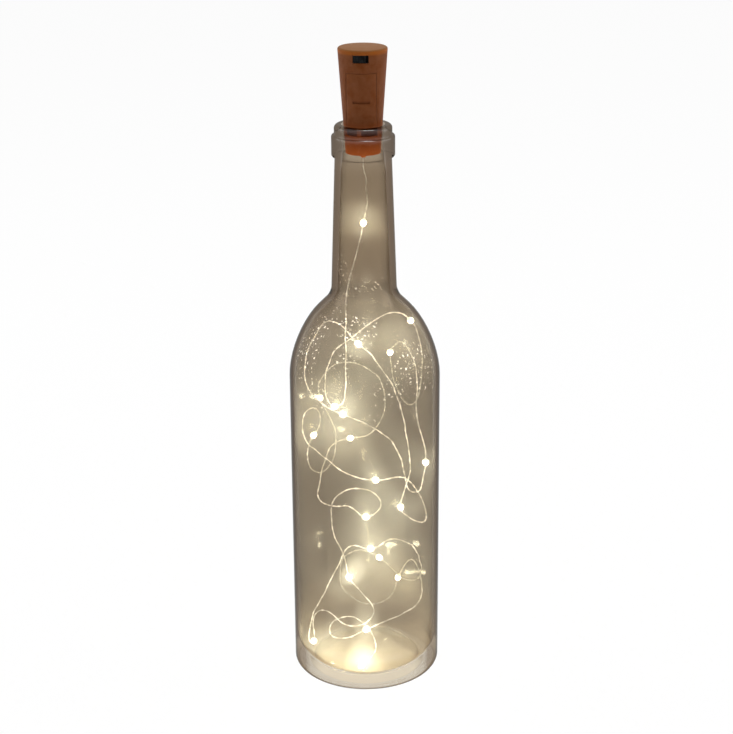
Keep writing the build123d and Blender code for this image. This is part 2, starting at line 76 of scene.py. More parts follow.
# The string's route, as in the part's source, from below the stopper to its last light
STRING_ROUTE = [
    (0.002, 0.003, 0.259), (0.002, 0.006, 0.247), (0.000, 0.007, 0.236), (-0.004, 0.006, 0.224),
    (-0.008, 0.002, 0.210), (-0.009, -0.004, 0.195), (-0.008, -0.013, 0.181),
    (-0.008, -0.020, 0.169), (-0.007, -0.022, 0.159), (-0.008, -0.022, 0.152),
    (-0.013, -0.022, 0.149), (-0.017, -0.021, 0.153), (-0.018, -0.021, 0.161),
    (-0.017, -0.023, 0.172), (-0.013, -0.023, 0.180), (-0.003, -0.020, 0.186),
    (0.006, -0.014, 0.194), (0.016, -0.005, 0.194), (0.024, 0.005, 0.186), (0.028, 0.009, 0.174),
    (0.029, 0.012, 0.156), (0.026, 0.019, 0.137), (0.018, 0.027, 0.133), (0.012, 0.027, 0.146),
    (0.010, 0.023, 0.163), (0.016, 0.014, 0.174), (0.023, 0.008, 0.171), (0.027, -0.004, 0.159),
    (0.026, -0.013, 0.144), (0.030, -0.012, 0.129), (0.031, -0.008, 0.116), (0.030, -0.004, 0.104),
    (0.029, -0.010, 0.100), (0.024, -0.017, 0.103), (0.021, -0.022, 0.116), (0.017, -0.025, 0.135),
    (0.005, -0.029, 0.143), (-0.009, -0.029, 0.149), (-0.020, -0.024, 0.152),
    (-0.029, -0.014, 0.158), (-0.029, -0.009, 0.174), (-0.020, -0.009, 0.191),
    (-0.009, -0.017, 0.191), (-0.002, -0.019, 0.182), (0.008, -0.019, 0.173),
    (0.017, -0.021, 0.160), (0.021, -0.017, 0.144), (0.023, -0.015, 0.126), (0.024, -0.014, 0.109),
    (0.018, -0.024, 0.097), (0.025, -0.016, 0.088), (0.032, -0.003, 0.080), (0.030, 0.008, 0.086),
    (0.025, -0.001, 0.101), (0.018, -0.018, 0.113), (0.007, -0.027, 0.113),
    (-0.005, -0.029, 0.116), (-0.018, -0.024, 0.123), (-0.031, -0.009, 0.127),
    (-0.032, 0.003, 0.137), (-0.026, 0.010, 0.138), (-0.023, 0.010, 0.127), (-0.029, 0.001, 0.122),
    (-0.031, 0.005, 0.110), (-0.028, 0.017, 0.095), (-0.019, 0.025, 0.099), (-0.017, 0.027, 0.120),
    (-0.026, 0.020, 0.138), (-0.025, 0.019, 0.151), (-0.013, 0.024, 0.158), (0.003, 0.028, 0.152),
    (0.010, 0.029, 0.134), (0.002, 0.028, 0.115), (-0.011, 0.026, 0.114), (-0.022, 0.021, 0.110),
    (-0.025, 0.010, 0.099), (-0.025, -0.004, 0.090), (-0.014, -0.019, 0.094),
    (-0.005, -0.027, 0.099), (0.002, -0.028, 0.092), (0.011, -0.024, 0.097),
    (0.007, -0.027, 0.108), (-0.006, -0.029, 0.110), (-0.015, -0.026, 0.101),
    (-0.015, -0.026, 0.085), (-0.008, -0.029, 0.072), (-0.007, -0.028, 0.059),
    (0.000, -0.027, 0.051), (0.009, -0.023, 0.037), (-0.005, -0.027, 0.029),
    (-0.018, -0.026, 0.041), (-0.027, -0.017, 0.033), (-0.025, -0.017, 0.016),
    (-0.031, -0.008, 0.012), (-0.029, -0.003, 0.023), (-0.021, -0.016, 0.043),
    (-0.014, -0.023, 0.061), (-0.006, -0.028, 0.080), (0.006, -0.027, 0.075),
    (0.014, -0.024, 0.082), (0.024, -0.015, 0.075), (0.030, -0.003, 0.057), (0.027, 0.008, 0.041),
    (0.018, 0.019, 0.036), (0.007, 0.026, 0.043), (-0.006, 0.028, 0.052), (-0.018, 0.024, 0.044),
    (-0.016, 0.024, 0.024), (0.000, 0.027, 0.015), (0.012, 0.028, 0.020), (0.015, 0.026, 0.036),
    (0.023, 0.022, 0.049), (0.029, 0.015, 0.041), (0.029, -0.003, 0.034), (0.018, -0.018, 0.033),
    (0.002, -0.027, 0.030), (-0.008, -0.027, 0.024), (-0.017, -0.023, 0.024),
    (-0.018, -0.013, 0.027), (-0.010, -0.005, 0.027), (0.000, -0.006, 0.022),
    (0.007, -0.015, 0.017), (0.006, -0.024, 0.012), (-0.003, -0.028, 0.008),
]
LINE_STEPS = 24  # points of the line for each point of the route
LOOSE_HIGH = Vector((0, 0, 0.232))
KINKS = ((45, 0.0014), (120, 0.0006))  # how dense the wire's small bends are, and their size
KINK_START = 48  # points of the line over which they set in
KINK_SEED = 7
BACK_START = -0.002  # the wire's painted glow fades into painted shade from here to the back of the bottle
BACK_DEPTH = 0.016
BACK_LOSS = 0.72

# The glass
BOTTLE_STEPS = 180  # faces round the bottle
LEAN_OF_SHOULDER = math.radians(45.0)
STAND_ROUND = 0.002
PUNT_ROUND = 0.012
NECK_TOP_ROUND = 0.0006
LIP_FOOT_ROUND = 0.0004
MOUTH_ROUND = 0.0009
BORE_ROUND = 0.012
HEEL_INSIDE_ROUND = 0.008
FLOOR_ROUND = 0.003
NECK_RINGS = (0.05, 0.88, 12)  # shares of the straight run at the first and last, and their number
BODY_RINGS = (0.135, 0.97, 36)
BASE_TOP = 0.02  # below this, what faces up is inside and what faces down is outside
FILM_REACH = 0.011  # how far from a light the film on the glass stays dense
FILM_GAIN = 1.7

# The stopper
STOPPER_STEPS = 144  # faces round it
WINDOW_TALL = 0.0037
DISH_RADIUS = 0.0024  # the hollow for a finger under the switch's window
DISH_SHALLOW = 0.00205  # from the stopper's side out to the middle of the hollow's round
NAIL_TALL = 0.0013
TONGUE_ROOT = 0.0025
LOW_TONGUE = (0.002, -0.0013, 0.0012)  # width, middle and reach below the recess
HIGH_TONGUE = (0.01, 0.0026)  # width and reach above the door
PLUG_BORE = 0.000425
NOSE_END = 0.0012
NOSE_ROOT = 0.0018
NOSE_ROOT_ROUND = 0.0005
PLUG_ROUND = 0.0003
PLUG_TOP_ROUND = 0.0002

# The stage
CAMERA_TURN = math.radians(5.0)
CAMERA_DISTANCE = 0.82088
CAMERA_HEIGHT = 0.46399
CAMERA_TILT = math.radians(20.135)
CAMERA_ROLL = math.radians(-0.39)
CAMERA_LENS = 86.0
CAMERA_SENSOR = 36.0
CAMERA_SHIFT = 0.0025
FLOOR_SIZE = 30.0
FLOOR_PAINT = 0.9
FLOOR_WHITE = 0.95  # the share of the floor that is plain white, the rest shows the shadow
LAMPS = (  # name, place, size and power
    ("top_lamp", (0.1, 0.1, 1.6), 0.6, 16.0),
    ("left_lamp", (-1.2, 0.35, 0.6), 0.9, 4.0),
    ("right_lamp", (1.2, 0.35, 0.6), 0.9, 4.0),
)
LAMP_AIM = Vector((0, 0, 0.2))
ROOM_LIGHT = 0.35

# Modelling
MERGE_DISTANCE = 1e-6
NEAR = 1e-5
TOOL_MARGIN = 0.002  # how far a cutting shape reaches past what it cuts
TOOL_FRONT = -0.03  # where a block that cuts the stopper's front starts


# Sizes and colours that a user would change

def length(name, description, default):
    return FloatProperty(
        name=name, description=description, default=default, unit="LENGTH", precision=5
    )


def number(name, description, default):
    return FloatProperty(name=name, description=description, default=default, min=0)


def colour(name, description, default):
    return FloatVectorProperty(
        name=name, description=description, default=default, subtype="COLOR", size=3, min=0, max=1
    )


class BottleSizes(bpy.types.PropertyGroup):
    """The bottle's outline, in radii and heights."""

    height: length("Height", "From the floor to the top of the lip", BOTTLE_TOP)
    body_radius: length("Body radius", "Outside of the straight body", 0.0375)
    wall: length("Wall", "Thickness of the glass", 0.0032)
    heel_round: length("Heel rounding", "Radius where the body turns into the base", 0.0039)
    stand_radius: length("Stand radius", "Inner edge of the ring it stands on", 0.028)
    punt_height: length("Punt height", "Height of the hollow under the base", 0.009)
    punt_radius: length("Punt radius", "Flat top of the hollow under the base", 0.013)
    base: length("Base", "Thickness of the glass at the base", 0.004)
    floor_slope: length("Floor slope", "Slope between wall and floor inside", 0.007)
    shoulder_height: length("Shoulder height", "Where the shoulder's two lines meet", 0.180711)
    shoulder_round: length("Shoulder rounding", "Radius of the shoulder", 0.05)
    neck_base_radius: length("Neck base radius", "Neck where it meets the shoulder", 0.01615)
    neck_base_height: length("Neck base height", "Where shoulder and neck meet", 0.202061)
    neck_base_round: length("Neck base rounding", "Radius between shoulder and neck", 0.01)
    neck_top_radius: length("Neck top radius", "Neck just under the ring", 0.01375)
    ring_radius: length("Ring radius", "Outside of the ring under the lip", 0.0153)
    ring_low: length("Ring bottom", "Height of the ring's lower edge", 0.2705)
    ring_high: length("Ring top", "Height of the ring's upper edge", 0.281)
    ring_round: length("Ring rounding", "Radius of the ring's edges", 0.0011)
    lip_radius: length("Lip radius", "Outside of the lip", 0.01395)
    lip_round: length("Lip rounding", "Radius of the lip's outer edge", 0.0019)
    mouth_radius: length("Mouth radius", "Bore that the stopper sits in", 0.0096)
    bore_end: length("Bore end", "Height where the straight bore ends", 0.272)
    flare_end: length("Flare end", "Height where the bore has opened out", 0.263)


class StopperSizes(bpy.types.PropertyGroup):
    """The stopper, its battery door and its end plug, in heights above the stopper's end."""

    end_radius: length("End radius", "Lower end of the taper", 0.0084)
    top_radius: length("Top radius", "Upper end of the taper", 0.0119)
    height: length("Height", "From end to end", 0.0502)
    top_round: length("Top rounding", "Radius of the top edge", 0.0011)
    shell: length("Shell", "Thickness of the moulding", 0.0013)
    head: length("Head", "Thickness of the top", 0.0012)
    fit: length("Fit", "Gap between parts that drop into each other", 0.00015)
    door_low: length("Door bottom", "Lower edge of the battery door", 0.013)
    door_high: length("Door top", "Upper edge of the battery door", 0.0392)
    door_width: length("Door width", "Width of the battery door", 0.0141)
    recess_low: length("Recess bottom", "Lower edge of the opening it slides in", 0.009)
    tongue: length("Tongue", "Thickness of the door's tongues", 0.0009)
    nail_height: length("Nail groove height", "Middle of the groove for a nail", 0.02565)
    nail_width: length("Nail groove width", "Width of the groove for a nail", 0.008)
    nail_depth: length("Nail groove depth", "Depth of the groove for a nail", 0.0006)
    window_height: length("Window height", "Middle of the switch's window", 0.04605)
    window_width: length("Window width", "Width of the switch's window", 0.0075)
    plug: length("End plug", "Thickness of the plug in the stopper's end", 0.0026)
    gland: length("Gland", "Length of the nose that the string leaves by", 0.0025)
    edge_round: length("Edge rounding", "Radius of the moulding's small edges", 0.00018)


class StringSizes(bpy.types.PropertyGroup):
    """The string of lights."""

    diameter: length("Diameter", "The pair of strands together", 0.0007)
    twist: length("Twist", "Length of one turn of the strands", 0.009)
    drop_length: length("Drop length", "Length of a light's drop of resin", 0.0046)
    drop_radius: length("Drop radius", "Widest radius of a drop of resin", 0.0014)
    drop_end: length("Drop end", "Radius of a drop at its ends", 0.0004)
    # How far the wire's painted glow reaches from a light
    glow_reach: length("Glow reach", "How far a light brightens the wire", 0.0095)


class Finishes(bpy.types.PropertyGroup):
    """Colours, as light that a surface gives back or that a wall of glass lets through."""

    # Painted tints of the clear glass: painted shade in the body and the neck, painted light at the
    # base and the lip
    glass_base_painted_light: colour("Glass base", "Tint of the glass at the base", (0.71, 0.625, 0.49))
    glass_body_painted_shade: colour("Glass body", "Tint of the glass in the body", (0.374, 0.325, 0.266))
    glass_neck_painted_shade: colour("Glass neck", "Tint of the glass in the neck", (0.485, 0.417, 0.335))
    glass_lip_painted_light: colour("Glass lip", "Tint of the glass at the lip", (0.62, 0.56, 0.48))
    # Painted light: a glow on the glass floor, which is no lamp
    painted_floor_glow: colour("Floor glow", "Light that the glass floor gives back", (0.62, 0.62, 0.52))
    cork: colour("Stopper", "Moulded plastic of the stopper", (0.197, 0.051, 0.009))
    # Painted light: a sheen on the stopper's top and a highlight along its upper edge
    cork_top_sheen: colour("Stopper top", "Worn top of the stopper", (0.165, 0.066, 0.018))
    cork_rim_light: colour("Stopper rim", "Upper edge, where light passes", (0.34, 0.094, 0.014))
    # Painted light: a glow at the stopper's end
    cork_glow: colour("Stopper glow", "Light that shows through its end", (0.33, 0.078, 0.019))
    black: colour("Switch", "Plastic of the switch", (0.002, 0.002, 0.002))
    wire: colour("Wire", "Metal of the string", (0.80, 0.77, 0.70))
    light: colour("Light", "Colour of the lights", (0.92, 1.0, 0.84))
    glass_bend: number("Glass bend", "How strongly the thin glass bends light", 1.035)
    film: number("Film", "Share of the inside that a film of dust covers", 0.22)
    light_strength: number("Light strength", "Brightness of the lights", 5600.0)


# Modelling helpers

def deselect():
    bpy.ops.object.select_all(action="DESELECT")


def pick(piece):
    """Makes a piece the only one selected, and the active one."""
    deselect()
    piece.select_set(True)
    bpy.context.view_layer.objects.active = piece


def select_vertices(piece, test):
    """Selects in edit mode the vertices that pass a test of their place."""
    mesh = bmesh.from_edit_mesh(piece.data)
    for vertex in mesh.verts:
        vertex.select = test(vertex.co)
    mesh.select_mode = {"VERT"}
    mesh.select_flush_mode()
    bmesh.update_edit_mesh(piece.data)


def checked(piece):
    """Stops the operator if a piece has come out empty."""
    if not piece.data.polygons:
        raise RuntimeError(f"{piece.name} has no faces")
    return piece


def turned(name, corners, steps):
    """A piece spun about Z from an outline, each corner with its radius, height and rounding."""
    deselect()
    bpy.ops.mesh.primitive_plane_add(size=0.001)
    piece = bpy.context.object
    piece.name = name
    places = [Vector((radius, 0, height)) for radius, height, rounding in corners]
    bpy.ops.object.mode_set(mode="EDIT")
    bpy.ops.mesh.merge(type="CENTER")
    bpy.ops.transform.translate(value=places[0])
    for last, place in zip(places, places[1:]):
        bpy.ops.mesh.extrude_vertices_move(TRANSFORM_OT_translate={"value": place - last})
    for i in range(1, len(corners) - 1):
        rounding = corners[i][2]
        turn = (places[i] - places[i - 1]).angle(places[i + 1] - places[i])
        if rounding > 0 and turn > 0.01:
            place = places[i]
            select_vertices(piece, lambda co: (co - place).length < NEAR)
            bpy.ops.mesh.bevel(
                offset_type="OFFSET",
                offset=rounding * math.tan(turn / 2),
                segments=max(4, math.ceil(turn / math.radians(5))),
                affect="VERTICES",
            )
    bpy.ops.mesh.select_all(action="SELECT")
    bpy.ops.mesh.spin(steps=steps, angle=2 * math.pi, center=(0, 0, 0), axis=(0, 0, 1))
    bpy.ops.mesh.select_all(action="SELECT")
    bpy.ops.mesh.remove_doubles(threshold=MERGE_DISTANCE)
    bpy.ops.mesh.normals_make_consistent(inside=False)
    bpy.ops.object.mode_set(mode="OBJECT")
    return checked(piece)


def smooth(piece, degrees):
    pick(piece)
    bpy.ops.object.shade_smooth_by_angle(angle=math.radians(degrees))


def settle(piece):
    """Puts a piece's place, turn and scale into its mesh."""
    pick(piece)
    bpy.ops.object.transform_apply(location=True, rotation=True, scale=True)
    return piece


def block(name, x, y, z):
    """A box from the pairs of its least and greatest x, y and z."""
    deselect()
    middle = [(pair[0] + pair[1]) / 2 for pair in (x, y, z)]
    sides = [pair[1] - pair[0] for pair in (x, y, z)]
    bpy.ops.mesh.primitive_cube_add(size=1, location=middle, scale=sides)
    piece = bpy.context.object
    piece.name = name
    return settle(piece)


def across(width, middle=0.0):
    return (middle - width / 2, middle + width / 2)


def stopper_slope(sizes):
    return (sizes.top_radius - sizes.end_radius) / sizes.height


def taper(name, inset, low, high):
    """A solid with the stopper's taper between two of its heights, its side set in by inset."""
    sizes = bpy.context.scene.bottle_light_stopper
    slope = stopper_slope(sizes)
    deselect()
    bpy.ops.mesh.primitive_cone_add(
        vertices=STOPPER_STEPS,
        radius1=sizes.end_radius + slope * low - inset,
        radius2=sizes.end_radius + slope * high - inset,
        depth=high - low,
        location=(0, 0, STOPPER_END + (low + high) / 2),
    )
    piece = bpy.context.object
    piece.name = name
    return settle(piece)


def combine(piece, tool, operation):
    """Joins, cuts or keeps the common part of a piece and a tool, and removes the tool."""
    pick(piece)
    modifier = piece.modifiers.new(operation.title(), "BOOLEAN")
    modifier.operation = operation
    modifier.object = tool
    modifier.solver = "EXACT"
    bpy.ops.object.modifier_apply(modifier=modifier.name)
    bpy.data.meshes.remove(tool.data)
    return checked(piece)


def round_edges(piece, width, segments):
    """Rounds the sharp edges of a finished moulding a little."""
    pick(piece)
    bpy.ops.object.mode_set(mode="EDIT")
    bpy.ops.mesh.select_all(action="SELECT")
    bpy.ops.mesh.remove_doubles(threshold=MERGE_DISTANCE)
    bpy.ops.mesh.dissolve_limited(angle_limit=math.radians(0.3))
    bpy.ops.object.mode_set(mode="OBJECT")
    modifier = piece.modifiers.new("Rounding", "BEVEL")
    modifier.width = width
    modifier.segments = segments
    modifier.limit_method = "ANGLE"
    modifier.angle_limit = math.radians(40)
    bpy.ops.object.modifier_apply(modifier=modifier.name)


def copied(model, name, place):
    """A copy of a piece with a mesh of its own, moved by a matrix that ends in its mesh."""
    piece = model.copy()
    piece.data = model.data.copy()
    piece.name = name
    bpy.context.collection.objects.link(piece)
    piece.matrix_world = place
    return settle(piece)


def light_middles():
    """The middle of each light, from its solid in the CAD model."""
    boxes = [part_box(f"led_bead_{i + 1:02d}") for i in range(LIGHT_COUNT)]
    return [(low + high) / 2 for low, high in boxes]


def dress(piece, material):
    piece.data.materials.clear()
    piece.data.materials.append(material)


# Materials

class Shade:
    """A socket of a material's nodes, for writing shader maths as expressions."""

    def __init__(self, finish, socket):
        self.finish = finish
        self.socket = socket

    def math(self, operation, first, second):
        return self.finish.add("ShaderNodeMath", {"operation": operation}, {0: first, 1: second})

    def __add__(self, other):
        return self.math("ADD", self, other)

    __radd__ = __add__

    def __sub__(self, other):
        return self.math("SUBTRACT", self, other)

    def __rsub__(self, other):
        return self.math("SUBTRACT", other, self)

    def __mul__(self, other):
        return self.math("MULTIPLY", self, other)

    __rmul__ = __mul__

    def __truediv__(self, other):
        return self.math("DIVIDE", self, other)

    def __pow__(self, other):
        return self.math("POWER", self, other)

    def greatest(self, other):
        return self.math("MAXIMUM", self, other)


class Finish:
    """A material, or the world, whose nodes are added one by one."""

    def __init__(self, owner):
        self.owner = owner
        owner.use_nodes = True
        self.tree = owner.node_tree
        self.tree.nodes.clear()

    def add(self, kind, settings=None, inputs=None, output=0):
        """Adds a node with its settings, then the values and links of its sockets."""
        node = self.tree.nodes.new(kind)
        for key, value in (settings or {}).items():
            if key == "stops":
                ramp = node.color_ramp.elements
                for i, (position, shade) in enumerate(value):
                    stop = ramp[i] if i < 2 else ramp.new(position)
                    stop.position = position
                    stop.color = (*shade, 1)
            else:
                setattr(node, key, value)
        for key, value in (inputs or {}).items():
            if isinstance(value, Shade):
                self.tree.links.new(value.socket, node.inputs[key])
            elif node.inputs[key].type == "RGBA":
                node.inputs[key].default_value = (*value, 1)
            else:
                node.inputs[key].default_value = value
        return Shade(self, node.outputs[output]) if node.outputs else node

    def place(self):
        return self.add("ShaderNodeTexCoord", output=3)

    def along(self, axis):
        """The place along x, y or z, which are 0, 1 and 2."""
        return self.add("ShaderNodeSeparateXYZ", inputs={0: self.place()}, output=axis)

    def attribute(self, name):
        """A number that is written on the points of the piece."""
        return self.add("ShaderNodeAttribute", {"attribute_name": name}, output=2)

    def noise(self, scale, detail=2.0, roughness=0.5):
        inputs = {"Vector": self.place(), "Scale": scale, "Detail": detail, "Roughness": roughness}
        return self.add("ShaderNodeTexNoise", inputs=inputs)

    def ramp(self, factor, stops):
        return self.add("ShaderNodeValToRGB", {"stops": stops}, {0: factor})

    def step(self, factor, off, full):
        """Zero at one value of the factor, one at another, and an even change between them."""
        return self.ramp(factor, sorted([(off, grey(0)), (full, grey(1))]))

    def blend(self, kind, factor, first, second):
        settings = {"data_type": "RGBA", "blend_type": kind}
        return self.add("ShaderNodeMix", settings, {0: factor, 6: first, 7: second}, output=2)

    def bump(self, height, distance):
        return self.add("ShaderNodeBump", inputs={"Height": height, "Distance": distance})

    def shader(self, **inputs):
        """A Principled shader with these sockets, named by their labels."""
        named = {key.replace("_", " ").title().replace("Ior", "IOR"): inputs[key] for key in inputs}
        return self.add("ShaderNodeBsdfPrincipled", inputs=named)

    def surface(self, **inputs):
        """Ends a material in a Principled shader."""
        return self.end(self.shader(**inputs))

    def mix(self, factor, first, second):
        """A shader part of the way from one to another."""
        return self.add("ShaderNodeMixShader", inputs={0: factor, 1: first, 2: second})

    def end(self, shader, kind="ShaderNodeOutputMaterial"):
        self.add(kind, inputs={"Surface": shader})
        return self.owner


def new_finish(name):
    return Finish(bpy.data.materials.new(name))


def grey(value):
    return (value, value, value)


def mixed(shade, other, share):
    """A colour part of the way to another."""
    return tuple(a + (b - a) * share for a, b in zip(shade, other))


def painted_glass_tint(finish, share, colours):
    """The painted tint of the clear glass by its share of the bottle's height: painted shade in the
    body and the neck, painted light at the base and the lip.
    """
    return finish.ramp(
        share,
        [
            (0.0, colours.glass_base_painted_light),
            (1.0, colours.glass_lip_painted_light),
            (0.052, colours.glass_base_painted_light),
            (0.14, colours.glass_body_painted_shade),
            (0.60, colours.glass_body_painted_shade),
            (0.76, colours.glass_neck_painted_shade),
            (0.92, colours.glass_neck_painted_shade),
            (0.955, colours.glass_lip_painted_light),
        ],
    )


def inner_glass(colours, sizes):
    """The inside of the glass, with the waves of blown glass, glints on its dents, a film of fine
    dust that spreads the lights, painted sparkles at the shoulder and a painted glow on its floor."""
    finish = new_finish("clear_glass_inside")
    share = finish.along(2) / sizes.height
    painted_tint = painted_glass_tint(finish, share, colours)

    # Parts of the inside, by their share of the height and by how far they are from the axis
    x, y = finish.along(0), finish.along(1)
    from_axis = (x * x + y * y) ** 0.5 / sizes.body_radius
    shoulder = finish.ramp(
        share, [(0.50, grey(0)), (0.80, grey(0)), (0.62, grey(1)), (0.72, grey(1))]
    )
    below_neck = finish.step(share, off=0.77, full=0.72)
    at_base = finish.step(share, off=0.053, full=0.048)
    floor = finish.step(from_axis, off=0.75, full=0.60) * at_base
    off_heel = 1 - finish.step(from_axis, off=0.68, full=0.72) * at_base
    dusty = off_heel * finish.ramp(
        share, [(0.64, grey(1)), (0.93, grey(0)), (0.72, grey(0.3)), (0.90, grey(0.3))]
    )

    # Long waves all over, and fine dents in patches and at the shoulder
    patches = finish.ramp(finish.noise(26.0, 1.0), [(0.42, grey(0.3)), (0.6, grey(1))])
    fine = finish.noise(480.0, 2.0) + finish.noise(1500.0) * 0.4
    dents = finish.noise(38.0, 2.0) + fine * (patches + shoulder) * 1.6
    waves = finish.bump(dents, 0.00008)

    # Painted light: a glow on the glass floor
    glow = finish.blend("MIX", floor * 0.13, grey(0), colours.painted_floor_glow)
    # Painted sparkles: specks of painted light in clusters at the shoulder
    sparkle_clusters = finish.step(finish.noise(34.0, 1.0), off=0.50, full=0.60)
    painted_sparkles = finish.step(finish.noise(700.0, 3.0, 0.6), off=0.62, full=0.67)
    glow = finish.blend("ADD", painted_sparkles * sparkle_clusters * shoulder, glow, grey(0.8))
    glass = finish.shader(
        base_color=painted_tint,
        roughness=0.01,
        normal=waves,
        ior=colours.glass_bend,
        transmission_weight=1.0,
        emission_color=glow,
        emission_strength=3.0,
    )
    glints = finish.shader(base_color=grey(1.0), metallic=1.0, roughness=0.06, normal=waves)
    film = finish.shader(base_color=painted_tint, roughness=0.62, ior=1.5, transmission_weight=0.75)
    dust = (finish.noise(22.0, 1.0) * 0.5 + 0.75) * (finish.attribute("near_light") * 0.75 + 0.25)
    clear = finish.mix(below_neck * off_heel * 0.10, glass, glints)
    made = finish.end(finish.mix(dust * colours.film * dusty, clear, film))
    made.cycles.emission_sampling = "NONE"
    return made


def outer_glass(colours, sizes):
    """The outside of the clear glass, wavy, with its painted tint, and painted shade where it is
    seen edge on.
    """
    finish = new_finish("clear_glass")
    share = finish.along(2) / sizes.height
    painted_tint = painted_glass_tint(finish, share, colours)
    facing = finish.add("ShaderNodeLayerWeight", inputs={"Blend": 0.5}, output=1)
    # Painted shade where the glass is seen edge on, set by height for the body, the neck and the
    # lip
    edge = painted_edge_shade(finish, facing, 0.53, 0.33, 0.0)
    for low, high, start, light_left, rim in (
        (0.05, 0.13, 0.62, 0.34, 0.0),  # the body
        (0.62, 0.72, 0.34, 0.39, 0.3),  # the neck
        (0.935, 0.95, 0.21, 0.28, 0.15),  # the ring and the lip
    ):
        higher = painted_edge_shade(finish, facing, start, light_left, rim)
        edge = finish.blend("MIX", finish.step(share, off=low, full=high), edge, higher)
    polished = finish.ramp(  # the upper edges of the ring and of the lip
        share,
        [
            (0.976, grey(0)),
            (1.0, grey(1)),
            (0.979, grey(1)),
            (0.984, grey(1)),
            (0.987, grey(0)),
            (0.991, grey(0)),
            (0.994, grey(1)),
        ],
    )
    return finish.surface(
        base_color=finish.blend("MULTIPLY", 1.0, painted_tint, edge),
        roughness=finish.noise(55.0, 5.0, 0.65) * 0.02,
        normal=finish.bump(finish.noise(38.0, 2.0), 0.00005),
        ior=colours.glass_bend,
        transmission_weight=1.0,
        coat_weight=finish.step(facing, off=0.5, full=0.25) * polished,
    )


def painted_edge_shade(finish, facing, start, light_left, rim):
    """Painted shade where the glass is seen edge on: the share of light left, less and less towards
    its rim.
    """
    warm = (light_left, light_left * 0.86, light_left * 0.76)
    darkest = mixed(grey(0), warm, rim)
    return finish.ramp(
        facing,
        [
            (start - 0.17, grey(1)),
            (1.0, darkest),
            (start - 0.05, grey(0.8)),
            (start + 0.04, warm),
            (0.77, mixed(warm, darkest, 0.35)),
            (0.85, mixed(warm, darkest, 0.8)),
            (0.91, darkest),
        ],
    )


def cork_plastic(context):
    """Brown moulded plastic, a little mottled, with a painted sheen on its top, a painted highlight
    along its upper edge and a painted glow at its end.
    The scene keeps it, for all the mouldings of the stopper."""
    if "cork_plastic" in context.scene:
        return context.scene["cork_plastic"]
    colours = context.scene.bottle_light_finishes
    sizes = context.scene.bottle_light_stopper
    finish = new_finish("cork_plastic")
    base = tuple(colours.cork)
    mottle = finish.noise(210.0, 4.0, 0.6)
    shade = finish.ramp(
        mottle, [(0.3, mixed(base, grey(0), 0.10)), (0.7, mixed(base, (1, 0.8, 0.6), 0.035))]
    )
    above = (finish.along(2) - STOPPER_END) / sizes.height
    # Painted sheen on the top and a painted highlight along the upper edge
    for start, full, painted_light in (
        (0.945, 0.964, colours.cork_rim_light),
        (0.982, 0.994, colours.cork_top_sheen),
    ):
        painted_band = finish.step(above, off=start, full=full)
        shade = finish.blend("MIX", painted_band, shade, painted_light)
    # Painted glow at the lower end, fading upwards
    half_glow = mixed(colours.cork_glow, grey(0), 0.5)
    glow = finish.ramp(above, [(0.0, colours.cork_glow), (0.33, grey(0)), (0.1, half_glow)])
    context.scene["cork_plastic"] = finish.surface(
        base_color=shade,
        roughness=mottle * 0.2 + 0.45,
        specular_ior_level=0.08,
        normal=finish.bump(finish.noise(2600.0, 3.0, 0.7), 0.00002),
        emission_color=glow,
        emission_strength=1.0,
    )
    return context.scene["cork_plastic"]


def moulded_plastic(name, base, rough):
    """Plain moulded plastic with a fine spark-worked grain."""
    finish = new_finish(name)
    cloud = finish.noise(420.0, 3.0)
    shade = finish.ramp(
        cloud, [(0.25, mixed(base, grey(0), 0.2)), (0.75, mixed(base, grey(1), 0.03))]
    )
    return finish.surface(
        base_color=shade,
        roughness=cloud * 0.15 + rough,
        specular_ior_level=0.04,
        normal=finish.bump(finish.noise(3800.0, 2.0), 0.000012),
    )


def sheet_metal(name, base, rough):
    """Rolled metal with fine streaks along one way and a little tarnish."""
    finish = new_finish(name)
    stretch = (9000.0, 700.0, 700.0)
    stretched = finish.add("ShaderNodeMapping", inputs={0: finish.place(), 3: stretch})
    streaks = finish.add(
        "ShaderNodeTexNoise", inputs={"Vector": stretched, "Scale": 1.0, "Detail": 3.0}
    )
    tarnish = finish.noise(600.0, 4.0)
    shade = finish.ramp(tarnish, [(0.3, mixed(base, (0.1, 0.07, 0.05), 0.25)), (0.65, base)])
    return finish.surface(
        base_color=shade,
        metallic=1.0,
        roughness=streaks * 0.2 + rough,
        normal=finish.bump(streaks, 0.000004),
    )


def board_lacquer():
    """Green lacquer over woven glass and copper tracks."""
    finish = new_finish("board_lacquer")
    weave = finish.add(
        "ShaderNodeTexChecker", inputs={"Vector": finish.place(), "Scale": 2400.0}, output=1
    )
    tracks = finish.add(
        "ShaderNodeTexBrick",
        inputs={"Vector": finish.place(), "Scale": 330.0, "Mortar Size": 0.06},
        output=1,
    )
    plain = finish.ramp(weave, [(0.0, (0.012, 0.10, 0.035)), (1.0, (0.014, 0.12, 0.042))])
    shade = finish.blend("MIX", tracks, plain, (0.03, 0.2, 0.06))
    return finish.surface(
        base_color=shade, roughness=0.3, normal=finish.bump(tracks, 0.00003), coat_weight=0.4
    )


